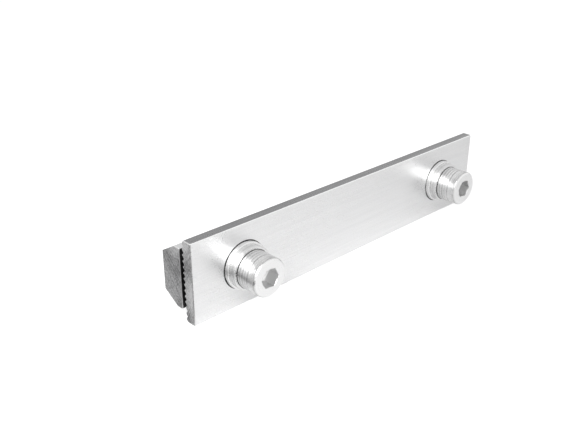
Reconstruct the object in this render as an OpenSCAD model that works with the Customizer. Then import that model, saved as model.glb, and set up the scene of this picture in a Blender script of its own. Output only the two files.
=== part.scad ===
// Solar rail connector. A toothed clamp plate lies against the ribbed side of two
// mounting rails that meet end to end, and a backing bar lies inside their side slot.
// Two socket head screws, each with a spring washer and a flat washer, draw the bar
// towards the plate and grip the lips of the slot between them.
// Millimetres. X runs along the rails, Y from the plate into the rail, Z is up.
// The origin is at mid-length, at the height of the screws, on the plane where the
// side of the rail meets the roots of the plate's teeth.

/* [Clamp plate] */
// Length of the plate along the rails
plate_length = 140; // [100:1:220]
// Height of the plate
plate_height = 28; // [24:1:44]
// Thickness from the front face to the roots of the teeth
plate_thickness = 3.5; // [2.5:0.1:6]
// Distance from one tooth to the next
tooth_pitch = 2; // [1.6:0.1:4]
// Height of a tooth above its root
tooth_height = 0.7; // [0.4:0.05:1.1]
// Width of the flat on the tip of a tooth
tooth_tip = 0.2; // [0.1:0.05:0.4]
// How much wider the plate's holes are than the screws
plate_hole_play = 1; // [0.5:0.1:1.5]
// Chamfer of the front edges and of the holes
plate_chamfer = 0.25; // [0.1:0.05:0.6]

/* [Rail lips] */
// Thickness of the slot lips that the plate and the bar grip
lip_thickness = 2.4; // [1.6:0.1:5]

/* [Backing bar] */
// Height of the bar at its front face, which bears on the lips
bar_front_height = 21; // [19:0.5:24]
// Height of the bar at its back face
bar_back_height = 13.4; // [12:0.2:18]
// Depth of the bar from front face to back face
bar_depth = 9; // [6:0.5:14]
// Depth of the straight flank behind the front face
bar_flank = 2.4; // [1:0.1:4]
// How far each end of the bar lies inside the end of the plate
bar_setback = 0; // [0:0.5:8]
// Chamfer of the bar's ends and long edges
bar_chamfer = 0.3; // [0.1:0.05:0.8]
// Chamfer at the mouths of the tapped holes
bar_hole_chamfer = 0.7; // [0.2:0.1:1.2]

/* [Screws] */
// Distance from the end of the plate to the middle of the nearer screw
screw_inset = 20; // [12:1:40]
// Diameter of the thread
screw_diameter = 8; // [6:0.5:9]
// Length of the shank from under the head to the tip
screw_length = 20; // [16:1:35]
// Diameter of the head
head_diameter = 13; // [12.5:0.1:14]
// Height of the head
head_height = 8; // [7:0.2:10]
// Chamfer of the head's front edge
head_chamfer = 0.6; // [0.2:0.1:1]
// Chamfer of the head's back edge
head_back_chamfer = 0.25; // [0.1:0.05:0.5]
// Width across the flats of the hexagon key
key_width = 6; // [5:0.5:7]
// Depth of the key socket's flats
key_depth = 4.5; // [3:0.1:5]
// Depth of the chamfer that breaks the flats at the mouth of the key socket
key_mouth = 0.25; // [0.1:0.05:0.4]
// Turn of the left key socket from corner-to-side, in degrees
left_key_turn = -4; // [-30:1:30]
// Turn of the right key socket from corner-to-side, in degrees
right_key_turn = -6; // [-30:1:30]
// Chamfer of the screw's tip
tip_chamfer = 0.8; // [0.3:0.1:1.2]
// Gap between the screw's thread and the thread of the bar, measured radially
thread_gap = 0.05; // [0.02:0.01:0.1]

/* [Washers] */
// Outer diameter of the flat washer
flat_washer_diameter = 16; // [15:0.5:22]
// Thickness of the flat washer
flat_washer_thickness = 1.6; // [1:0.1:2.5]
// Chamfer of the flat washer's front edge
flat_washer_chamfer = 0.3; // [0.1:0.05:0.5]
// Outer diameter of the spring washer
spring_washer_diameter = 14.8; // [13.5:0.1:15]
// Thickness of the spring washer as it is pressed flat
spring_washer_thickness = 2.5; // [1.5:0.1:3]
// Chamfer of the spring washer's edges
spring_washer_chamfer = 0.25; // [0.1:0.05:0.4]
// How much wider the washers' holes are than the screws
washer_play = 0.4; // [0.2:0.1:0.8]
// Width of the split in the spring washer
split_width = 0.8; // [0.4:0.1:1.5]
// Lean of the split from the screw's axis, in degrees
split_lean = 28; // [0:1:45]
// Place of the left washer's split round the screw, in degrees
left_split_turn = -52; // [-180:1:180]
// Place of the right washer's split round the screw, in degrees
right_split_turn = -31; // [-180:1:180]

/* [Hidden] */
$fn = 96;

// Runs a cut past the face that it opens
cut_past = 1;

// Clamp plate
front_y = -plate_thickness;
tooth_count = floor(plate_height / tooth_pitch + 0.001);
toothed_height = tooth_count * tooth_pitch;
plain_margin = (plate_height - toothed_height) / 2;
screw_x = plate_length / 2 - screw_inset;
plate_hole_radius = (screw_diameter + plate_hole_play) / 2;

// Backing bar
bar_front_y = lip_thickness;
bar_back_y = bar_front_y + bar_depth;
bar_length = plate_length - 2 * bar_setback;
tapped_radius = screw_diameter / 2 + thread_gap;

// Stack on each screw, from the plate outwards
flat_washer_y = front_y;
spring_washer_y = flat_washer_y - flat_washer_thickness;
head_y = spring_washer_y - spring_washer_thickness;
washer_hole_radius = (screw_diameter + washer_play) / 2;

// Key socket: its flats end in the cone that a slightly smaller drill left
key_corner_radius = key_width / 2 / cos(30);
key_mouth_radius = key_width / 2 + key_mouth;
drill_radius = key_width / 2 - 0.1;
drill_cone_height = drill_radius * tan(31);

// One tooth as points up the back of the plate: root, then the two corners of the tip
function tooth(root_z) = [
    [0, root_z],
    [tooth_height, root_z + (tooth_pitch - tooth_tip) / 2],
    [tooth_height, root_z + (tooth_pitch + tooth_tip) / 2]
];

// Section of the plate: chamfered front edges and the row of teeth up the back
function plate_section() = concat(
    [[front_y, -plate_height / 2 + plate_chamfer], [front_y + plate_chamfer, -plate_height / 2]],
    plain_margin > 0.01 ? [[0, -plate_height / 2]] : [],
    [for (i = [0 : tooth_count - 1]) each tooth(-toothed_height / 2 + i * tooth_pitch)],
    [[0, toothed_height / 2]],
    plain_margin > 0.01 ? [[0, plate_height / 2]] : [],
    [[front_y + plate_chamfer, plate_height / 2], [front_y, plate_height / 2 - plate_chamfer]]
);

// Half section of the bar above the screws, from the front face to the back face
function bar_half_section() = [
    [bar_front_y, bar_front_height / 2 - bar_chamfer],
    [bar_front_y + bar_chamfer, bar_front_height / 2],
    [bar_front_y + bar_flank, bar_front_height / 2],
    [bar_back_y - bar_chamfer, bar_back_height / 2],
    [bar_back_y, bar_back_height / 2 - bar_chamfer]
];

// Whole section of the bar: the half section and its mirror image
function bar_section() = concat(
    bar_half_section(),
    [for (i = [len(bar_half_section()) - 1 : -1 : 0]) [bar_half_section()[i][0], -bar_half_section()[i][1]]]
);

// Draws a section of Y and Z out along X, about the middle
module along_rails(length) {
    rotate([90, 0, 90])
        linear_extrude(length, center = true)
            children();
}

// Turns a shape that stands on Z so that it points out of the front of the plate
module facing_front(x, y) {
    translate([x, y, 0])
        rotate([90, 0, 0])
            children();
}

// Square bar set on edge, which cuts a chamfer along an upright corner
module corner_cut(x, y, size, height) {
    translate([x, y, 0])
        rotate([0, 0, 45])
            cube([size * sqrt(2), size * sqrt(2), height], center = true);
}

// Ring turned from a rectangle with chamfers on its outer edges
module turned_ring(outer_radius, inner_radius, thickness, back_chamfer, front_chamfer) {
    rotate_extrude()
        polygon([
            [inner_radius, 0],
            [outer_radius - back_chamfer, 0],
            [outer_radius, back_chamfer],
            [outer_radius, thickness - front_chamfer],
            [outer_radius - front_chamfer, thickness],
            [inner_radius, thickness]
        ]);
}

module clamp_plate() {
    color("gainsboro")
    difference() {
        along_rails(plate_length)
            polygon(plate_section());
        for (side = [-1, 1]) {
            corner_cut(side * plate_length / 2, front_y, plate_chamfer, plate_height + cut_past);
            facing_front(side * screw_x, tooth_height + cut_past)
                cylinder(r = plate_hole_radius, h = plate_thickness + tooth_height + 2 * cut_past);
            facing_front(side * screw_x, front_y + plate_chamfer)
                cylinder(r1 = plate_hole_radius, r2 = plate_hole_radius + 2 * plate_chamfer,
                         h = 2 * plate_chamfer);
        }
    }
}

module backing_bar() {
    color("silver")
    difference() {
        along_rails(bar_length)
            polygon(bar_section());
        for (side = [-1, 1]) {
            corner_cut(side * bar_length / 2, bar_front_y, bar_chamfer, bar_front_height + cut_past);
            corner_cut(side * bar_length / 2, bar_back_y, bar_chamfer, bar_front_height + cut_past);
            facing_front(side * screw_x, bar_back_y + cut_past)
                cylinder(r = tapped_radius, h = bar_depth + 2 * cut_past);
            facing_front(side * screw_x, bar_front_y + bar_hole_chamfer)
                cylinder(r1 = tapped_radius, r2 = tapped_radius + 2 * bar_hole_chamfer,
                         h = 2 * bar_hole_chamfer);
            facing_front(side * screw_x, bar_back_y + bar_hole_chamfer)
                cylinder(r1 = tapped_radius + 2 * bar_hole_chamfer, r2 = tapped_radius,
                         h = 2 * bar_hole_chamfer);
        }
    }
}

module flat_washer(x) {
    color("whitesmoke")
    facing_front(x, flat_washer_y)
        turned_ring(flat_washer_diameter / 2, washer_hole_radius, flat_washer_thickness,
                    flat_washer_chamfer / 2, flat_washer_chamfer);
}

// The split leans from the screw's axis, so its two ends overlap as on a pressed spring
module spring_washer(x, split_turn) {
    split_depth = spring_washer_diameter / 2 - washer_hole_radius + 2 * cut_past;
    color("whitesmoke")
    facing_front(x, spring_washer_y)
        difference() {
            turned_ring(spring_washer_diameter / 2, washer_hole_radius, spring_washer_thickness,
                        spring_washer_chamfer, spring_washer_chamfer);
            rotate([0, 0, split_turn])
                translate([washer_hole_radius - cut_past, 0, spring_washer_thickness / 2])
                    rotate([split_lean, 0, 0])
                        translate([0, -split_width / 2, -2 * spring_washer_thickness])
                            cube([split_depth, split_width, 4 * spring_washer_thickness]);
        }
}

module socket_screw(x, key_turn) {
    head_radius = head_diameter / 2;
    shank_radius = screw_diameter / 2;
    color("whitesmoke")
    facing_front(x, head_y)
        difference() {
            rotate_extrude()
                polygon([
                    [0, -screw_length],
                    [shank_radius - tip_chamfer, -screw_length],
                    [shank_radius, tip_chamfer - screw_length],
                    [shank_radius, 0],
                    [head_radius - head_back_chamfer, 0],
                    [head_radius, head_back_chamfer],
                    [head_radius, head_height - head_chamfer],
                    [head_radius - head_chamfer, head_height],
                    [0, head_height]
                ]);
            rotate([0, 0, key_turn])
                translate([0, 0, head_height - key_depth])
                    cylinder(r = key_corner_radius, h = key_depth + cut_past, $fn = 6);
            translate([0, 0, head_height - key_depth - drill_cone_height])
                cylinder(r1 = 0, r2 = drill_radius, h = drill_cone_height);
            translate([0, 0, head_height - key_mouth_radius])
                cylinder(r1 = 0, r2 = 2 * key_mouth_radius, h = 2 * key_mouth_radius);
        }
}

clamp_plate();
backing_bar();
flat_washer(-screw_x);  // left_flat_washer
spring_washer(-screw_x, left_split_turn);  // left_spring_washer
socket_screw(-screw_x, left_key_turn);  // left_screw
flat_washer(screw_x);  // right_flat_washer
spring_washer(screw_x, right_split_turn);  // right_spring_washer
socket_screw(screw_x, right_key_turn);  // right_screw
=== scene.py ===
"""Looks of the solar rail connector: brushed clamp plate, extruded backing bar,
turned screws with rolled threads, and their washers, in a plain white studio."""

import math

import bmesh
import bpy
from mathutils import Matrix, Vector


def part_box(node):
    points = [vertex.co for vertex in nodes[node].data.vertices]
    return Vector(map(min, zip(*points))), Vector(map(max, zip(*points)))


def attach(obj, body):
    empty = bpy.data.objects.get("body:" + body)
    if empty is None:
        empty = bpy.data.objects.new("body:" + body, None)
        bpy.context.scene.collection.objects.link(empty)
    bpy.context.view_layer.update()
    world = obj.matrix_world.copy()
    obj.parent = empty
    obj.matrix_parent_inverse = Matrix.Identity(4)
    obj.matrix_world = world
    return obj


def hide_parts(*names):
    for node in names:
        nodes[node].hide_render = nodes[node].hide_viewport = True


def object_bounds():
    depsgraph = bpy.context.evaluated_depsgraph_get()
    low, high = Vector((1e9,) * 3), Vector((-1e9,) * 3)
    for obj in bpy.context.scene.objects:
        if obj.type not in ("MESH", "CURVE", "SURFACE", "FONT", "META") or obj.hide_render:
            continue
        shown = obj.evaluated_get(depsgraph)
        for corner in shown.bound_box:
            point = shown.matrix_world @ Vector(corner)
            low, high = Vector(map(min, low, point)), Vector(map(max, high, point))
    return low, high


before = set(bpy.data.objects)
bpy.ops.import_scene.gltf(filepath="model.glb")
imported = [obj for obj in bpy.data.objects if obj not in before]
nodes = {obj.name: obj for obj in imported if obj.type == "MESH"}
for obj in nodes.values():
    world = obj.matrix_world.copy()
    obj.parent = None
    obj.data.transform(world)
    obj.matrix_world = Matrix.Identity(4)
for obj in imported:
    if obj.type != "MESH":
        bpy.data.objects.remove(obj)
cad_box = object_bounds()

MM = 0.001
SIDES = ("left", "right")

# Points round a turned piece: a multiple of six, so that the key socket's corners fall on points
ROUND_POINTS = 96
SHARP_EDGE = math.radians(32)
ROUNDING_STEPS = 4

# Screws, where the boxes of the nodes don't give the size
HEAD_HEIGHT = 8.0 * MM
HEAD_FRONT_CHAMFER = 0.6 * MM
HEAD_FRONT_ROUNDING = 0.25 * MM
HEAD_BACK_CHAMFER = 0.25 * MM
HEAD_BACK_ROUNDING = 0.1 * MM
KEY_WIDTH = 6.0 * MM
KEY_DEPTH = 4.5 * MM
KEY_MOUTH = 0.25 * MM
KEY_CORNER_BREAK = 0.06 * MM
KEY_TURN = {"left": math.radians(-4), "right": math.radians(-6)}
FACE_AROUND_KEY = 0.5 * MM
DRILL_RADIUS = 2.9 * MM
DRILL_SLOPE = math.tan(math.radians(31))
THREAD_RADIUS = 4.0 * MM
THREAD_PITCH = 1.25 * MM
THREAD_DEPTH = 0.74 * MM
THREAD_HALF_CREST = 0.0625  # share of the pitch
THREAD_FLANK = 0.3125  # share of the pitch
THREAD_RINGS_PER_PITCH = 16
THREAD_START = 0.4 * MM
THREAD_RUN_OUT = 1.6 * MM
TIP_CHAMFER = 0.8 * MM

# Washers
WASHER_HOLE_RADIUS = 4.2 * MM
WASHER_HOLE_ROUNDING = 0.15 * MM
WASHER_BACK_ROUNDING = 0.12 * MM
WASHER_FRONT_ROUNDING = 0.40 * MM
SPRING_ROUNDING = 0.28 * MM
SPLIT_WIDTH = 0.8 * MM
SPLIT_LEAN = math.radians(28)
SPLIT_TURN = {"left": math.radians(-52), "right": math.radians(-31)}

# Broken edges of the plate and the bar
PLATE_EDGE_BREAK = 0.07 * MM
BAR_EDGE_BREAK = 0.12 * MM
BREAK_ANGLE = math.radians(25)
BREAK_SEGMENTS = 2
WELD_DISTANCE = 0.001 * MM

# Camera, solved from the photograph's vanishing points
CAMERA_PLACE = Vector((-180.1, -161.3, 112.9)) * MM
CAMERA_AIM = Vector((-29.6, -3.5, 8.97)) * MM
CAMERA_ROLL = math.radians(0.18)
CAMERA_LENS = 46.1
SENSOR_WIDTH = 36.0
CAMERA_NEAR_CLIP = 10.0 * MM

# Studio: places and sizes in metres, power in watts
FLOOR_HALF = 3.0
FLOOR_GREY = 0.92
FLOOR_LIFT = 0.50
FLOOR_LIFT_IN_METAL = 0.06
FILL_GREY = 0.56
KEY_LIGHT_PLACE = Vector((-0.26, -0.19, 0.22))
KEY_LIGHT_SIZE = 0.31
KEY_LIGHT_POWER = 0.88
CARD_LOW = Vector((-140.0, -60.0, 0.0)) * MM
CARD_HIGH = Vector((-73.0, -3.0, 0.0)) * MM
CARD_ABOVE_FLOOR = 0.2 * MM
CARD_GREY = 0.28


def grey(level, blue=0.0):
    """Neutral colour of one level, with a trace of blue."""
    return (level, level, level + blue, 1.0)


# Finishes

# A pair of greys is the dark and the light of a surface's lines or bands, and a pair of roughnesses
# follows the same lines.
# Values named along, across, scale, lines and waves are scales of noise, per metre.
PLATE_LOOK = {
    "grain_along": 50.0,
    "grain_across": 4200.0,
    "grain_height": 0.002 * MM,
    "saw_centre": (0.0, -0.11, -0.07),
    "saw_lines": 2600.0,
    "smudge_scale": 55.0,
    "smudge_rough": 0.06,
    "satin_scale": 2300.0,
    "satin_height": 0.065 * MM,
    "satin_rough": 0.16,
    "speckle_share": 0.5,
    "face": (grey(0.84, 0.004), grey(0.94, 0.003)),
    "face_rough": (0.26, 0.23),
    # Top and bottom faces: painted shade, much darker than the front face
    "long_edge_shade": (grey(0.20, 0.004), grey(0.28, 0.004)),
    # Sawn ends: saw marks, darkened as painted shade
    "sawn_end_shade": (grey(0.16, 0.003), grey(0.56, 0.004)),
    "sawn_end_rough": (0.36, 0.26),
    "rubbed": grey(0.93),
    "rubbed_width": 0.5 * MM,
    # Ring of painted contact shadow on the plate round each washer
    "seat_place": (50.0 * MM, 3.5 * MM, 0.0),
    "seat_radius": 8.10 * MM,
    "seat_width": 0.22 * MM,
    "seat_shade_grey": grey(0.06),
}

BAR_LOOK = {
    "grain_along": 14.0,
    "grain_across": 2300.0,
    "grain_height": 0.006 * MM,
    "saw_centre": (0.0, 0.10, -0.09),
    "saw_lines": 2100.0,
    "smudge_scale": 40.0,
    "smudge_rough": 0.08,
    "satin_scale": 1800.0,
    "satin_height": 0.03 * MM,
    "satin_rough": 0.10,
    "speckle_share": 0.4,
    "face": (grey(0.66, 0.008), grey(0.78, 0.006)),
    "face_rough": (0.37, 0.30),
    # Top and bottom faces: painted shade, a little darker than the front and back
    "long_edge_shade": (grey(0.56, 0.006), grey(0.68, 0.005)),
    # Front face, seen only through the gap behind the plate: near-black painted shade
    "front": grey(0.06),
    # Sawn ends: saw marks, darkened as painted shade
    "sawn_end_shade": (grey(0.17, 0.003), grey(0.52, 0.004)),
    "sawn_end_rough": (0.40, 0.30),
    "rubbed": grey(0.88),
    "rubbed_width": 0.5 * MM,
}

SCREW_LOOK = {
    "lines": 5200.0,
    "line_height": 0.0015 * MM,
    "waves": 1400.0,
    "wave_height": 0.02 * MM,
    "smudge_scale": 260.0,
    "smudge_rough": 0.05,
    "scratch_depth": 0.0006 * MM,
    "satin_scale": 2600.0,
    "satin_height": 0.03 * MM,
    "satin_rough": 0.10,
    "speckle_share": 0.35,
    "flat": (grey(0.94), grey(0.98)),
    # Round sides: darker greys than the flat faces, painted shade
    "side": (grey(0.40), grey(0.74)),
    "rough": (0.16, 0.10),
    # Painted shade inside the key socket
    "socket_shade": grey(0.80),
    "socket_rough": 0.42,
    # Ring of painted contact shadow at the head's back edge
    "seat_radius": 6.4 * MM,
    "seat_height": 0.0,
    "seat_width": 0.24 * MM,
    "seat_shade_grey": grey(0.06),
}

WASHER_LOOK = {
    "lines": 3000.0,
    "line_height": 0.0015 * MM,
    "waves": 500.0,
    "wave_height": 0.01 * MM,
    "smudge_scale": 300.0,
    "smudge_rough": 0.06,
    "scratch_depth": 0.0006 * MM,
    "satin_scale": 2600.0,
    "satin_height": 0.03 * MM,
    "satin_rough": 0.10,
    "speckle_share": 0.5,
    "flat": (grey(0.84), grey(0.92)),
    # Round sides: darker greys than the flat faces, painted shade
    "side": (grey(0.60), grey(0.88)),
    "rough": (0.21, 0.14),
    # Ring of painted contact shadow at the washer's back edge
    "seat_radius": 8.0 * MM,
    "seat_height": 0.0,
    "seat_width": 0.20 * MM,
    "seat_shade_grey": grey(0.06),
}

SPRING_LOOK = {
    "lines": 4200.0,
    "line_height": 0.002 * MM,
    "waves": 600.0,
    "wave_height": 0.01 * MM,
    "smudge_scale": 240.0,
    "smudge_rough": 0.08,
    "scratch_depth": 0.0006 * MM,
    "satin_scale": 2600.0,
    "satin_height": 0.03 * MM,
    "satin_rough": 0.10,
    "speckle_share": 0.5,
    "flat": (grey(0.80), grey(0.90)),
    # Round sides: darker greys than the flat faces, painted shade
    "side": (grey(0.48), grey(0.76)),
    "rough": (0.22, 0.16),
    # Ring of painted contact shadow where the head meets the split washer
    "seat_radius": 6.45 * MM,
    "seat_height": 2.5 * MM,
    "seat_width": 0.24 * MM,
    "seat_shade_grey": grey(0.08),
}

RUBBED_SHARE = 0.6
RUBBED_POLISH = 0.08
SCRATCH_SHARE = 0.35


# Mesh tools

def clamp(value):
    """The value, held between 0 and 1."""
    return min(max(value, 0.0), 1.0)


def rounded_outline(corners):
    """Outline of (radius, height) points, each corner (radius, height, rounding) cut round."""
    points = []
    for index, (radius, height, rounding) in enumerate(corners):
        corner = Vector((radius, height))
        if rounding == 0:
            points.append(corner)
            continue
        before = Vector(corners[index - 1][:2]) - corner
        after = Vector(corners[(index + 1) % len(corners)][:2]) - corner
        start = corner + before.normalized() * rounding
        end = corner + after.normalized() * rounding
        for step in range(ROUNDING_STEPS + 1):
            part = step / ROUNDING_STEPS
            points.append(start * (1 - part) ** 2 + corner * 2 * part * (1 - part) + end * part ** 2)
    return points


def round_point(radius, angle, height):
    """Point of a piece that stands on the plate: its height runs out along -Y."""
    return Vector((radius * math.cos(angle), -height, radius * math.sin(angle)))


def round_angles():
    """Angles of the points round a turned piece."""
    return [2 * math.pi * i / ROUND_POINTS for i in range(ROUND_POINTS)]


def plain_ring(radius, height):
    """One round ring of points about the screw's axis."""
    return [round_point(radius, angle, height) for angle in round_angles()]


def skin(rings, closed_round=True, loop=False):
    """Faces between neighbouring rings. loop joins the last ring to the first one too."""
    points = [point for ring in rings for point in ring]
    count = len(rings[0])
    faces = []
    for low in range(len(rings) if loop else len(rings) - 1):
        high = (low + 1) % len(rings)
        for i in range(count if closed_round else count - 1):
            j = (i + 1) % count
            faces.append((low * count + i, low * count + j, high * count + j, high * count + i))
    return points, faces


def add_fan(points, faces, ring_start, apex):
    """Closes a ring of points with triangles to one point."""
    points.append(apex)
    top = len(points) - 1
    for i in range(ROUND_POINTS):
        faces.append((ring_start + i, ring_start + (i + 1) % ROUND_POINTS, top))


def make_piece(name, points, faces, place, node, smooth_zone=None):
    """New mesh piece on the body, standing for a CAD node, shaded smooth between its sharp edges.
    Every edge inside smooth_zone, a lowest and a highest height, is smooth."""
    mesh = bpy.data.meshes.new(name)
    mesh.from_pydata(points, [], faces)
    shape = bmesh.new()
    shape.from_mesh(mesh)
    bmesh.ops.recalc_face_normals(shape, faces=shape.faces)
    for face in shape.faces:
        face.smooth = True
    for edge in shape.edges:
        in_zone = smooth_zone and all(smooth_zone[0] < -v.co.y < smooth_zone[1] for v in edge.verts)
        edge.smooth = bool(in_zone) or edge.calc_face_angle(0) < SHARP_EDGE
    shape.to_mesh(mesh)
    shape.free()
    piece = bpy.data.objects.new(name, mesh)
    piece.location = place
    bpy.context.scene.collection.objects.link(piece)
    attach(piece, "root")
    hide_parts(node)
    return piece


# Screws

def thread_radius(height, angle, tip_height):
    """Radius of the rolled thread at a height under the head: flat crests and wider, flat roots."""
    turn = (height / THREAD_PITCH - angle / (2 * math.pi)) % 1.0
    from_crest = min(turn, 1 - turn)
    cut = clamp((from_crest - THREAD_HALF_CREST) / THREAD_FLANK)
    run_out = clamp((-height - THREAD_START) / THREAD_RUN_OUT)
    tip_cone = THREAD_RADIUS - TIP_CHAMFER + (height - tip_height)
    return min(THREAD_RADIUS - THREAD_DEPTH * cut * run_out, tip_cone)


def thread_rings(tip_height):
    """Rings from the screw's tip up to its head."""
    count = round(-tip_height / THREAD_PITCH * THREAD_RINGS_PER_PITCH)
    rings = []
    for level in range(count + 1):
        height = tip_height * (1 - level / count)
        rings.append([round_point(thread_radius(height, a, tip_height), a, height) for a in round_angles()])
    return rings


def hexagon_radius(angle):
    """Distance from the axis to the flats of the key socket, corners at multiples of 60 degrees."""
    sixth = math.pi / 3
    return KEY_WIDTH / 2 / math.cos(angle % sixth - sixth / 2)


def socket_rings():
    """Mouth chamfer, flats and floor of the key socket, from the head's front inwards."""
    mouth_radius = KEY_WIDTH / 2 + KEY_MOUTH
    floor_height = HEAD_HEIGHT - KEY_DEPTH
    angles = round_angles()
    rims = [hexagon_radius(angle) for angle in angles]
    cuts = [max(mouth_radius - rim, KEY_CORNER_BREAK) for rim in rims]
    return [
        [round_point(r + cut, a, HEAD_HEIGHT) for r, cut, a in zip(rims, cuts, angles)],
        [round_point(r, a, HEAD_HEIGHT - cut) for r, cut, a in zip(rims, cuts, angles)],
        [round_point(r, a, floor_height) for r, a in zip(rims, angles)],
        plain_ring(DRILL_RADIUS, floor_height),
    ]


def make_screw(side):
    """Socket head screw: rolled thread, rounded head and hexagon socket in one mesh."""
    node = side + "_screw"
    low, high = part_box(node)
    head_radius = (high.x - low.x) / 2
    seat_y = low.y + HEAD_HEIGHT
    tip_height = seat_y - high.y
    head = rounded_outline([
        (THREAD_RADIUS, 0.0, 0.0),
        (head_radius - HEAD_BACK_CHAMFER, 0.0, HEAD_BACK_ROUNDING),
        (head_radius, HEAD_BACK_CHAMFER, HEAD_BACK_ROUNDING),
        (head_radius, HEAD_HEIGHT - HEAD_FRONT_CHAMFER, HEAD_FRONT_ROUNDING),
        (head_radius - HEAD_FRONT_CHAMFER, HEAD_HEIGHT, HEAD_FRONT_ROUNDING),
        (hexagon_radius(0) + FACE_AROUND_KEY, HEAD_HEIGHT, 0.0),
    ])
    rings = thread_rings(tip_height)
    # The last ring of the thread is the first point of the head
    rings += [plain_ring(radius, height) for radius, height in head[1:]]
    rings += socket_rings()
    points, faces = skin(rings)
    last_ring = len(points) - ROUND_POINTS
    cone_depth = DRILL_RADIUS * DRILL_SLOPE
    add_fan(points, faces, last_ring, round_point(0, 0, HEAD_HEIGHT - KEY_DEPTH - cone_depth))
    add_fan(points, faces, 0, round_point(0, 0, tip_height))
    turn = Matrix.Rotation(-KEY_TURN[side], 4, "Y")
    points = [turn @ point for point in points]
    place = Vector(((low.x + high.x) / 2, seat_y, (low.z + high.z) / 2))
    thread_zone = (tip_height + TIP_CHAMFER / 2, -THREAD_START / 2)
    return make_piece(side + "_socket_screw", points, faces, place, node, thread_zone)


# Washers

def make_flat_washer(side):
    """Stamped washer: rolled over at the front edge, nearly sharp at the back."""
    node = side + "_flat_washer"
    low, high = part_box(node)
    radius = (high.x - low.x) / 2
    thickness = high.y - low.y
    outline = rounded_outline([
        (WASHER_HOLE_RADIUS, 0.0, WASHER_HOLE_ROUNDING),
        (radius, 0.0, WASHER_BACK_ROUNDING),
        (radius, thickness, WASHER_FRONT_ROUNDING),
        (WASHER_HOLE_RADIUS, thickness, WASHER_HOLE_ROUNDING),
    ])
    points, faces = skin([plain_ring(r, h) for r, h in outline], loop=True)
    place = Vector(((low.x + high.x) / 2, high.y, (low.z + high.z) / 2))
    return make_piece(side + "_plain_washer", points, faces, place, node)


def make_spring_washer(side):
    """Split washer: one flattened turn of rounded rectangular wire whose two ends lean past each other."""
    node = side + "_spring_washer"
    low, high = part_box(node)
    radius = (high.x - low.x) / 2
    thickness = high.y - low.y
    outline = rounded_outline([
        (WASHER_HOLE_RADIUS, 0.0, SPRING_ROUNDING),
        (radius, 0.0, SPRING_ROUNDING),
        (radius, thickness, SPRING_ROUNDING),
        (WASHER_HOLE_RADIUS, thickness, SPRING_ROUNDING),
    ])
    half_split = SPLIT_WIDTH / 2 / math.cos(SPLIT_LEAN)
    columns = []
    for r, h in outline:
        middle = -math.tan(SPLIT_LEAN) * (h - thickness / 2)
        start = math.asin((middle + half_split) / r)
        end = 2 * math.pi + math.asin((middle - half_split) / r)
        angles = [start + (end - start) * i / (ROUND_POINTS - 1) for i in range(ROUND_POINTS)]
        columns.append([round_point(r, SPLIT_TURN[side] + a, h) for a in angles])
    points, faces = skin(columns, closed_round=False, loop=True)
    faces.append(tuple(i * ROUND_POINTS for i in range(len(columns))))
    faces.append(tuple(i * ROUND_POINTS + ROUND_POINTS - 1 for i in range(len(columns))))
    place = Vector(((low.x + high.x) / 2, high.y, (low.z + high.z) / 2))
    return make_piece(side + "_split_washer", points, faces, place, node)


# Plate and bar keep their CAD meshes

def break_edges(obj, width):
    """Joins the split corners of an imported mesh and bevels its sharp edges."""
    weld = obj.modifiers.new("weld", "WELD")
    weld.merge_threshold = WELD_DISTANCE
    bevel = obj.modifiers.new("broken_edges", "BEVEL")
    bevel.width = width
    bevel.segments = BREAK_SEGMENTS
    bevel.limit_method = "ANGLE"
    bevel.angle_limit = BREAK_ANGLE
    bevel.harden_normals = True


# Shader tools

FLOAT = "NodeSocketFloat"
VECTOR = "NodeSocketVector"

# Operations of a Vector Math node that give a number
NUMBER_RESULTS = ("LENGTH", "DISTANCE")

# Sockets of a Mix node go by number, because they share names: mask, first and second, then the output
MIX_SOCKETS = {"FLOAT": ((0, 2, 3), 0), "RGBA": ((0, 6, 7), 2)}

# Most values of a noise texture lie in this range, about this middle
NOISE_RANGE = (0.35, 0.65)
NOISE_MIDDLE = 0.5


def add_node(tree, kind, **settings):
    """New shader node with its settings."""
    made = tree.nodes.new(kind)
    for name, value in settings.items():
        setattr(made, name, value)
    return made


def set_input(node, socket, value):
    """Links a socket to another one, or sets its plain value."""
    if isinstance(value, bpy.types.NodeSocket):
        node.id_data.links.new(value, node.inputs[socket])
    else:
        node.inputs[socket].default_value = value


def maths(tree, operation, first, second, clamp_result=False):
    """Math node, returned as its output socket."""
    node = add_node(tree, "ShaderNodeMath", operation=operation, use_clamp=clamp_result)
    set_input(node, 0, first)
    set_input(node, 1, second)
    return node.outputs[0]


def vector_maths(tree, operation, first, second=(0.0, 0.0, 0.0)):
    """Vector Math node, returned as the output socket that its operation fills."""
    node = add_node(tree, "ShaderNodeVectorMath", operation=operation)
    set_input(node, 0, first)
    set_input(node, 1, second)
    return node.outputs["Value" if operation in NUMBER_RESULTS else "Vector"]


def split_axes(tree, vector):
    """Separate XYZ node of a vector."""
    node = add_node(tree, "ShaderNodeSeparateXYZ")
    set_input(node, 0, vector)
    return node.outputs


def join_axes(tree, x, y, z=0.0):
    """Combine XYZ node, returned as its output socket."""
    node = add_node(tree, "ShaderNodeCombineXYZ")
    for socket, value in (("X", x), ("Y", y), ("Z", z)):
        set_input(node, socket, value)
    return node.outputs[0]


def from_axis(tree, vector):
    """Distance from the local Y axis, and the place along it."""
    flat = vector_maths(tree, "MULTIPLY", vector, (1.0, 0.0, 1.0))
    return vector_maths(tree, "LENGTH", flat), split_axes(tree, vector)["Y"]


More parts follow.
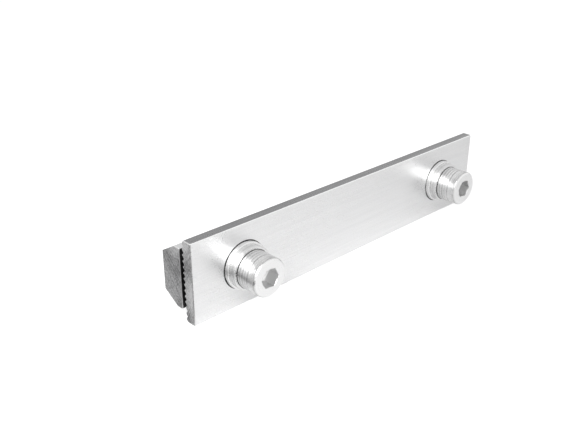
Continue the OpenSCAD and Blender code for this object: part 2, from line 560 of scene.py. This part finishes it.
def to_range(tree, value, low, high, smooth=False):
    """Map Range node that takes low and high to 0 and 1 and clamps, returned as its output socket."""
    node = add_node(tree, "ShaderNodeMapRange", clamp=True)
    node.interpolation_type = "SMOOTHSTEP" if smooth else "LINEAR"
    for socket, number in (("Value", value), ("From Min", low), ("From Max", high)):
        set_input(node, socket, number)
    return node.outputs["Result"]


def noise(tree, vector, scale, detail=2.0, roughness=0.5):
    """Noise texture, returned as its value socket."""
    node = add_node(tree, "ShaderNodeTexNoise")
    set_input(node, "Vector", vector)
    set_input(node, "Scale", scale)
    set_input(node, "Detail", detail)
    set_input(node, "Roughness", roughness)
    return node.outputs["Fac"]


def blend(tree, kind, mask, first, second):
    """Mix node of a kind of data, returned as its output socket."""
    inputs, output = MIX_SOCKETS[kind]
    node = add_node(tree, "ShaderNodeMix", data_type=kind)
    for socket, value in zip(inputs, (mask, first, second)):
        set_input(node, socket, value)
    return node.outputs[output]


def blend_values(tree, mask, first, second):
    """Mix of two values by a mask."""
    return blend(tree, "FLOAT", mask, first, second)


def blend_colours(tree, mask, first, second):
    """Mix of two colours by a mask."""
    return blend(tree, "RGBA", mask, first, second)


def new_group(name, inputs, outputs):
    """Empty node group with named sockets. Returns its tree, its inputs and its output node."""
    tree = bpy.data.node_groups.new(name, "ShaderNodeTree")
    for socket, kind in inputs:
        tree.interface.new_socket(socket, in_out="INPUT", socket_type=kind)
    for socket, kind in outputs:
        tree.interface.new_socket(socket, in_out="OUTPUT", socket_type=kind)
    return tree, tree.nodes.new("NodeGroupInput").outputs, tree.nodes.new("NodeGroupOutput")


def use_group(tree, group, **inputs):
    """Places a group in a material, sets its inputs, with _ for a space, and returns its outputs."""
    node = add_node(tree, "ShaderNodeGroup", node_tree=group)
    for socket, value in inputs.items():
        set_input(node, socket.replace("_", " "), value)
    return node.outputs


# Surface effects, each a group that several materials share

def make_facing_group():
    """Masks by the way a face looks: sawn ends along X, long edges along Z, the front and round sides."""
    end_limits = (0.6, 0.8)
    long_edge_limits = (0.75, 0.95)
    front_limits = (-0.75, -0.9)
    side_limits = (0.9, 0.5)
    tree, inside, out = new_group("facing", [("Normal", VECTOR)],
                                  [("End", FLOAT), ("Long Edge", FLOAT), ("Front", FLOAT), ("Side", FLOAT)])
    either_way = split_axes(tree, vector_maths(tree, "ABSOLUTE", inside["Normal"]))
    set_input(out, "End", to_range(tree, either_way["X"], *end_limits))
    set_input(out, "Long Edge", to_range(tree, either_way["Z"], *long_edge_limits))
    outward = split_axes(tree, inside["Normal"])["Y"]
    set_input(out, "Front", to_range(tree, outward, *front_limits))
    set_input(out, "Side", to_range(tree, either_way["Y"], *side_limits))
    return tree


def make_grain_group():
    """Brushed or drawn lines along X: fine hairs over broader bands."""
    band_scale = 0.17
    band_share = 0.28
    tree, inside, out = new_group("long grain", [("Vector", VECTOR), ("Along", FLOAT), ("Across", FLOAT)],
                                  [("Tone", FLOAT), ("Height", FLOAT)])
    stretch = join_axes(tree, inside["Along"], inside["Across"], inside["Across"])
    stretched = vector_maths(tree, "MULTIPLY", inside["Vector"], stretch)
    hairs = noise(tree, stretched, 1.0, detail=3.0, roughness=0.65)
    lines = blend_values(tree, band_share, hairs, noise(tree, stretched, band_scale))
    set_input(out, "Tone", to_range(tree, lines, *NOISE_RANGE))
    set_input(out, "Height", hairs)
    return tree


def make_saw_group():
    """Cut end: fine mottle over broad zones, with faint arcs of a round saw about a centre far off."""
    mottle_scale = 1500.0
    zone_scale = 75.0
    zone_place = (0.0, 0.0, 0.6)
    zone_share = 0.62
    arc_share = 0.13
    tone_limits = (0.43, 0.57)
    tree, inside, out = new_group("saw arcs", [("Vector", VECTOR), ("Centre", VECTOR), ("Lines", FLOAT)],
                                  [("Tone", FLOAT), ("Height", FLOAT)])
    flat = vector_maths(tree, "MULTIPLY", inside["Vector"], (0.0, 1.0, 1.0))
    arcs = add_node(tree, "ShaderNodeTexNoise", noise_dimensions="1D")
    set_input(arcs, "W", vector_maths(tree, "DISTANCE", flat, inside["Centre"]))
    set_input(arcs, "Scale", inside["Lines"])
    set_input(arcs, "Detail", 3.0)
    mottle = noise(tree, inside["Vector"], mottle_scale, detail=3.0, roughness=0.7)
    zones = noise(tree, vector_maths(tree, "ADD", inside["Vector"], zone_place), zone_scale, detail=3.0)
    cut = blend_values(tree, arc_share, blend_values(tree, zone_share, mottle, zones), arcs.outputs["Fac"])
    set_input(out, "Tone", to_range(tree, cut, *tone_limits))
    set_input(out, "Height", cut)
    return tree


def make_turned_group():
    """Lathe marks about the local Y axis: fine lines, and the broad waves of the tool's feed."""
    patch_scale = 260.0
    patch_share = 0.25
    band_limits = (0.46, 0.60)
    tree, inside, out = new_group("turned marks", [("Vector", VECTOR), ("Lines", FLOAT), ("Waves", FLOAT)],
                                  [("Tone", FLOAT), ("Bands", FLOAT), ("Line Height", FLOAT),
                                   ("Wave Height", FLOAT)])
    radius, along = from_axis(tree, inside["Vector"])
    section = join_axes(tree, radius, along)
    lines = noise(tree, section, inside["Lines"], detail=3.0, roughness=0.6)
    waves = noise(tree, section, inside["Waves"])
    patches = noise(tree, inside["Vector"], patch_scale, detail=3.0)
    bands = blend_values(tree, patch_share, waves, patches)
    set_input(out, "Tone", to_range(tree, lines, *NOISE_RANGE))
    set_input(out, "Bands", to_range(tree, bands, *band_limits, smooth=True))
    set_input(out, "Line Height", lines)
    set_input(out, "Wave Height", waves)
    return tree


def make_satin_group():
    """Fine speckle of a satin surface: uneven spots a fraction of a millimetre across."""
    tree, inside, out = new_group("satin speckle", [("Vector", VECTOR), ("Scale", FLOAT)],
                                  [("Tone", FLOAT), ("Height", FLOAT)])
    spots = noise(tree, inside["Vector"], inside["Scale"], detail=1.5, roughness=0.6)
    set_input(out, "Tone", to_range(tree, spots, *NOISE_RANGE))
    set_input(out, "Height", spots)
    return tree


def make_seat_shade_group():
    """Painted contact shadow: a dark uneven line where a round piece meets the face that it's pressed on.
    """
    wobble_scale = 330.0
    wobble = 1.4
    line_limits = (1.0, 0.4)
    tree, inside, out = new_group("seat shade line", [("Vector", VECTOR), ("Radius", FLOAT), ("Width", FLOAT)],
                                  [("Mask", FLOAT)])
    radius, along = from_axis(tree, inside["Vector"])
    section = join_axes(tree, maths(tree, "SUBTRACT", radius, inside["Radius"]), along)
    distance = maths(tree, "DIVIDE", vector_maths(tree, "LENGTH", section), inside["Width"])
    uneven = maths(tree, "SUBTRACT", noise(tree, inside["Vector"], wobble_scale, detail=3.0), NOISE_MIDDLE)
    distance = maths(tree, "ADD", distance, maths(tree, "MULTIPLY", uneven, wobble))
    set_input(out, "Mask", to_range(tree, distance, *line_limits, smooth=True))
    return tree


def make_handling_group():
    """Smudges and hairline scratches from handling. Each set of scratches has its own turn and shift."""
    scratch_sets = ((0.5, 0.0), (-0.9, 3.7), (1.9, 8.1))
    scratch_scale = (70.0, 2600.0, 2600.0)
    scratch_limits = (0.735, 0.78)
    smudge_limits = (0.4, 0.68)
    tree, inside, out = new_group("handling marks", [("Vector", VECTOR), ("Scale", FLOAT)],
                                  [("Smudge", FLOAT), ("Scratch", FLOAT)])
    smudge = noise(tree, inside["Vector"], inside["Scale"], detail=4.0, roughness=0.6)
    scratches = 0.0
    for turn, shift in scratch_sets:
        mapping = add_node(tree, "ShaderNodeMapping")
        set_input(mapping, "Vector", inside["Vector"])
        set_input(mapping, "Location", (shift, shift, shift))
        set_input(mapping, "Rotation", (turn, turn, turn))
        set_input(mapping, "Scale", scratch_scale)
        line = to_range(tree, noise(tree, mapping.outputs[0], 1.0, detail=1.0), *scratch_limits)
        scratches = maths(tree, "MAXIMUM", line, scratches)
    set_input(out, "Smudge", to_range(tree, smudge, *smudge_limits, smooth=True))
    set_input(out, "Scratch", scratches)
    return tree


def make_rubbed_group():
    """Mask of the rim of a box-shaped piece, where handling has rubbed it bright."""
    wobble_scale = 700.0
    wobble = 0.7
    rim_limits = (0.9, 1.4)
    inputs = [("Vector", VECTOR), ("Middle", VECTOR), ("Half Size", VECTOR), ("Width", FLOAT)]
    tree, inside, out = new_group("rubbed rim", inputs, [("Mask", FLOAT)])
    off_middle = vector_maths(tree, "SUBTRACT", inside["Vector"], inside["Middle"])
    from_middle = vector_maths(tree, "ABSOLUTE", off_middle)
    depth = split_axes(tree, vector_maths(tree, "SUBTRACT", inside["Half Size"], from_middle))
    rim = maths(tree, "MULTIPLY", noise(tree, inside["Vector"], wobble_scale), -wobble)
    for axis in ("X", "Y", "Z"):
        widths_in = maths(tree, "DIVIDE", depth[axis], inside["Width"])
        rim = maths(tree, "ADD", rim, maths(tree, "SUBTRACT", 1.0, widths_in, clamp_result=True))
    set_input(out, "Mask", to_range(tree, rim, *rim_limits, smooth=True))
    return tree


# Materials

def new_metal(name):
    """Material with a metallic Principled shader. Returns the material, its tree and its shader."""
    material = bpy.data.materials.new(name)
    material.use_nodes = True
    tree = material.node_tree
    tree.nodes.clear()
    shader = add_node(tree, "ShaderNodeBsdfPrincipled")
    set_input(shader, "Metallic", 1.0)
    output = add_node(tree, "ShaderNodeOutputMaterial")
    set_input(output, "Surface", shader.outputs[0])
    return material, tree, shader


def add_share(tree, value, extra, share):
    """The value, plus a share of the extra."""
    return maths(tree, "ADD", value, maths(tree, "MULTIPLY", extra, share))


def add_bump(tree, shader, height):
    """Bump of a height in metres."""
    bump = add_node(tree, "ShaderNodeBump")
    set_input(bump, "Strength", 1.0)
    set_input(bump, "Distance", 1.0)
    set_input(bump, "Height", height)
    set_input(shader, "Normal", bump.outputs[0])


def aluminium(name, node_name, effects, look):
    """Aluminium profile: grain along its length, sawn ends, rubbed rims and light handling marks. Its ends,
    top and bottom faces, the bar's front face and the seat rings carry painted shade.
    """
    material, tree, shader = new_metal(name)
    coordinates = add_node(tree, "ShaderNodeTexCoord").outputs
    place = coordinates["Object"]
    low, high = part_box(node_name)
    facing = use_group(tree, effects["facing"], Normal=coordinates["Normal"])
    grain = use_group(tree, effects["grain"], Vector=place,
                      Along=look["grain_along"], Across=look["grain_across"])
    saw = use_group(tree, effects["saw"], Vector=place, Centre=look["saw_centre"], Lines=look["saw_lines"])
    satin = use_group(tree, effects["satin"], Vector=place, Scale=look["satin_scale"])
    marks = use_group(tree, effects["handling"], Vector=place, Scale=look["smudge_scale"])
    rim = use_group(tree, effects["rubbed"], Vector=place, Middle=(low + high) / 2,
                    Half_Size=(high - low) / 2, Width=look["rubbed_width"])["Mask"]

    tone = blend_values(tree, look["speckle_share"], grain["Tone"], satin["Tone"])
    colour = blend_colours(tree, tone, *look["face"])
    # Top and bottom faces take darker greys: painted shade
    shaded_edge_colour = blend_colours(tree, grain["Tone"], *look["long_edge_shade"])
    colour = blend_colours(tree, facing["Long Edge"], colour, shaded_edge_colour)
    # The bar's front face, in the gap behind the plate, is painted near-black shade
    if "front" in look:
        colour = blend_colours(tree, facing["Front"], colour, look["front"])
    # Sawn ends: saw marks under painted shade
    sawn_and_shaded_end = blend_colours(tree, saw["Tone"], *look["sawn_end_shade"])
    colour = blend_colours(tree, facing["End"], colour, sawn_and_shaded_end)
    colour = blend_colours(tree, maths(tree, "MULTIPLY", rim, RUBBED_SHARE), colour, look["rubbed"])
    # Painted contact shadow round each washer
    if "seat_radius" in look:
        either_side = vector_maths(tree, "ABSOLUTE", place)
        from_seat = vector_maths(tree, "SUBTRACT", either_side, look["seat_place"])
        seat = use_group(tree, effects["seat"], Vector=from_seat,
                         Radius=look["seat_radius"], Width=look["seat_width"])
        colour = blend_colours(tree, seat["Mask"], colour, look["seat_shade_grey"])
    set_input(shader, "Base Color", colour)

    face_rough = blend_values(tree, grain["Tone"], *look["face_rough"])
    end_rough = blend_values(tree, saw["Tone"], *look["sawn_end_rough"])
    rough = blend_values(tree, facing["End"], face_rough, end_rough)
    rough = add_share(tree, rough, marks["Smudge"], look["smudge_rough"])
    rough = add_share(tree, rough, rim, -RUBBED_POLISH)
    set_input(shader, "Roughness", add_share(tree, rough, satin["Tone"], look["satin_rough"]))

    lines = blend_values(tree, facing["End"], grain["Height"], saw["Height"])
    lines = add_share(tree, lines, marks["Scratch"], -SCRATCH_SHARE)
    height = maths(tree, "MULTIPLY", lines, look["grain_height"])
    add_bump(tree, shader, add_share(tree, height, satin["Height"], look["satin_height"]))
    return material


def socket_mask(tree, place):
    """1 inside the key socket, behind the head's front face."""
    radius_limits = (3.8 * MM, 3.6 * MM)
    mouth_limits = (-HEAD_HEIGHT + 0.02 * MM, -HEAD_HEIGHT + 0.15 * MM)
    base_limits = (0.0, -0.5 * MM)
    radius, along = from_axis(tree, place)
    inner = to_range(tree, radius, *radius_limits)
    behind_front = to_range(tree, along, *mouth_limits)
    in_head = to_range(tree, along, *base_limits)
    return maths(tree, "MULTIPLY", maths(tree, "MULTIPLY", inner, behind_front), in_head)


def stainless(name, effects, look):
    """Bright stainless steel with lathe marks about the piece's own axis. Its round sides, key socket and
    seat lines carry painted shade.
    """
    material, tree, shader = new_metal(name)
    coordinates = add_node(tree, "ShaderNodeTexCoord").outputs
    place = coordinates["Object"]
    facing = use_group(tree, effects["facing"], Normal=coordinates["Normal"])
    turned = use_group(tree, effects["turned"], Vector=place, Lines=look["lines"], Waves=look["waves"])
    satin = use_group(tree, effects["satin"], Vector=place, Scale=look["satin_scale"])
    marks = use_group(tree, effects["handling"], Vector=place, Scale=look["smudge_scale"])

    tone = blend_values(tree, look["speckle_share"], turned["Tone"], satin["Tone"])
    bands = blend_values(tree, look["speckle_share"], turned["Bands"], satin["Tone"])
    # The round sides take darker greys than the flat faces: painted shade. Their bands follow turning
    # marks, partly painted reflection.
    side_dark, side_light = look["side"]
    shaded_side_colour = blend_colours(tree, bands, side_light, side_dark)
    colour = blend_colours(tree, facing["Side"], blend_colours(tree, tone, *look["flat"]), shaded_side_colour)
    rough = blend_values(tree, turned["Tone"], *look["rough"])
    rough = add_share(tree, rough, marks["Smudge"], look["smudge_rough"])
    rough = add_share(tree, rough, satin["Tone"], look["satin_rough"])
    # Painted shade inside the key socket
    if "socket_shade" in look:
        socket = socket_mask(tree, place)
        colour = blend_colours(tree, socket, colour, look["socket_shade"])
        rough = blend_values(tree, socket, rough, look["socket_rough"])
    # Painted contact shadow where the piece meets the one behind it
    from_seat = vector_maths(tree, "ADD", place, (0.0, look["seat_height"], 0.0))
    seat = use_group(tree, effects["seat"], Vector=from_seat,
                     Radius=look["seat_radius"], Width=look["seat_width"])
    set_input(shader, "Base Color", blend_colours(tree, seat["Mask"], colour, look["seat_shade_grey"]))
    set_input(shader, "Roughness", rough)

    height = maths(tree, "MULTIPLY", turned["Line Height"], look["line_height"])
    height = add_share(tree, height, turned["Wave Height"], look["wave_height"])
    height = add_share(tree, height, satin["Height"], look["satin_height"])
    add_bump(tree, shader, add_share(tree, height, marks["Scratch"], -look["scratch_depth"]))
    return material


# Studio

def flat_sheet(name, low, high, height, shader_parts):
    """Level rectangle from a low to a high corner, which isn't part of the object.
    shader_parts takes the material's tree and returns its surface."""
    corners = [(low.x, low.y, height), (high.x, low.y, height),
               (high.x, high.y, height), (low.x, high.y, height)]
    mesh = bpy.data.meshes.new(name)
    mesh.from_pydata(corners, [], [(0, 1, 2, 3)])
    sheet = bpy.data.objects.new(name, mesh)
    bpy.context.scene.collection.objects.link(sheet)
    material = bpy.data.materials.new(name + " paint")
    material.use_nodes = True
    tree = material.node_tree
    tree.nodes.clear()
    output = add_node(tree, "ShaderNodeOutputMaterial")
    set_input(output, "Surface", shader_parts(tree))
    mesh.materials.append(material)
    return sheet


def paint(tree, level):
    """Plain matt paint of one grey, returned as its output socket."""
    node = add_node(tree, "ShaderNodeBsdfDiffuse")
    set_input(node, "Color", grey(level))
    return node.outputs[0]


def floor_surface(tree):
    """Pale paint, lifted to white for the camera and a little for what the metal mirrors."""
    rays = add_node(tree, "ShaderNodeLightPath").outputs
    seen = maths(tree, "MAXIMUM", rays["Is Camera Ray"], rays["Is Transmission Ray"])
    lift = add_node(tree, "ShaderNodeEmission")
    mirrored = maths(tree, "MULTIPLY", rays["Is Glossy Ray"], FLOOR_LIFT_IN_METAL)
    set_input(lift, "Strength", add_share(tree, mirrored, seen, FLOOR_LIFT))
    both = add_node(tree, "ShaderNodeAddShader")
    set_input(both, 0, paint(tree, FLOOR_GREY))
    set_input(both, 1, lift.outputs[0])
    return both.outputs[0]


def make_floor():
    """Pale floor under the object, which keeps its soft shadow."""
    half = Vector((FLOOR_HALF, FLOOR_HALF, 0.0))
    flat_sheet("floor", -half, half, cad_box[0].z, floor_surface)


def make_side_card():
    """Grey card on the floor left of the plate, which only the metal sees: it shades the turned sides."""
    card = flat_sheet("side_card", CARD_LOW, CARD_HIGH, cad_box[0].z + CARD_ABOVE_FLOOR,
                      lambda tree: paint(tree, CARD_GREY))
    card.visible_camera = False
    card.visible_diffuse = False
    card.visible_shadow = False


def make_world():
    """White for the camera and in the metal, and a dimmer fill light on the floor."""
    world = bpy.data.worlds.new("studio")
    bpy.context.scene.world = world
    world.use_nodes = True
    tree = world.node_tree
    tree.nodes.clear()
    fill = add_node(tree, "ShaderNodeBackground")
    set_input(fill, "Color", grey(FILL_GREY))
    white = add_node(tree, "ShaderNodeBackground")
    set_input(white, "Color", grey(1.0))
    rays = add_node(tree, "ShaderNodeLightPath").outputs
    seen = maths(tree, "MAXIMUM", rays["Is Camera Ray"], rays["Is Transmission Ray"])
    seen = maths(tree, "MAXIMUM", seen, rays["Is Glossy Ray"])
    choice = add_node(tree, "ShaderNodeMixShader")
    set_input(choice, 0, seen)
    set_input(choice, 1, fill.outputs[0])
    set_input(choice, 2, white.outputs[0])
    output = add_node(tree, "ShaderNodeOutputWorld")
    set_input(output, "Surface", choice.outputs[0])


def face_towards(obj, target):
    """Turns a lamp or camera so that its -Z looks at a point."""
    obj.rotation_mode = "QUATERNION"
    obj.rotation_quaternion = (target - obj.location).to_track_quat("-Z", "Y")


def make_key_light():
    """Square softbox up on the left that looks at the object."""
    lamp = bpy.data.lights.new("key", "AREA")
    lamp.size = KEY_LIGHT_SIZE
    lamp.energy = KEY_LIGHT_POWER
    obj = bpy.data.objects.new("key", lamp)
    obj.location = KEY_LIGHT_PLACE
    obj.visible_camera = False
    face_towards(obj, Vector((0, 0, 0)))
    bpy.context.scene.collection.objects.link(obj)


def make_camera():
    """Camera at the photograph's place and angle."""
    camera = bpy.data.cameras.new("camera")
    camera.lens = CAMERA_LENS
    camera.sensor_width = SENSOR_WIDTH
    camera.clip_start = CAMERA_NEAR_CLIP
    obj = bpy.data.objects.new("camera", camera)
    obj.location = CAMERA_PLACE
    face_towards(obj, CAMERA_AIM)
    roll = Matrix.Rotation(CAMERA_ROLL, 4, "Z").to_quaternion()
    obj.rotation_quaternion = obj.rotation_quaternion @ roll
    bpy.context.scene.collection.objects.link(obj)
    bpy.context.scene.camera = obj


effects = {
    "facing": make_facing_group(),
    "grain": make_grain_group(),
    "saw": make_saw_group(),
    "turned": make_turned_group(),
    "satin": make_satin_group(),
    "seat": make_seat_shade_group(),
    "handling": make_handling_group(),
    "rubbed": make_rubbed_group(),
}

nodes["clamp_plate"].data.materials[0] = aluminium("brushed plate", "clamp_plate", effects, PLATE_LOOK)
nodes["backing_bar"].data.materials[0] = aluminium("extruded bar", "backing_bar", effects, BAR_LOOK)
break_edges(nodes["clamp_plate"], PLATE_EDGE_BREAK)
break_edges(nodes["backing_bar"], BAR_EDGE_BREAK)

screw_steel = stainless("turned stainless", effects, SCREW_LOOK)
washer_steel = stainless("stamped stainless", effects, WASHER_LOOK)
spring_steel = stainless("rolled spring steel", effects, SPRING_LOOK)
for side in SIDES:
    make_flat_washer(side).data.materials.append(washer_steel)
    make_spring_washer(side).data.materials.append(spring_steel)
    make_screw(side).data.materials.append(screw_steel)

make_world()
make_floor()
make_side_card()
make_key_light()
make_camera()
bpy.context.scene.view_settings.view_transform = "Standard"
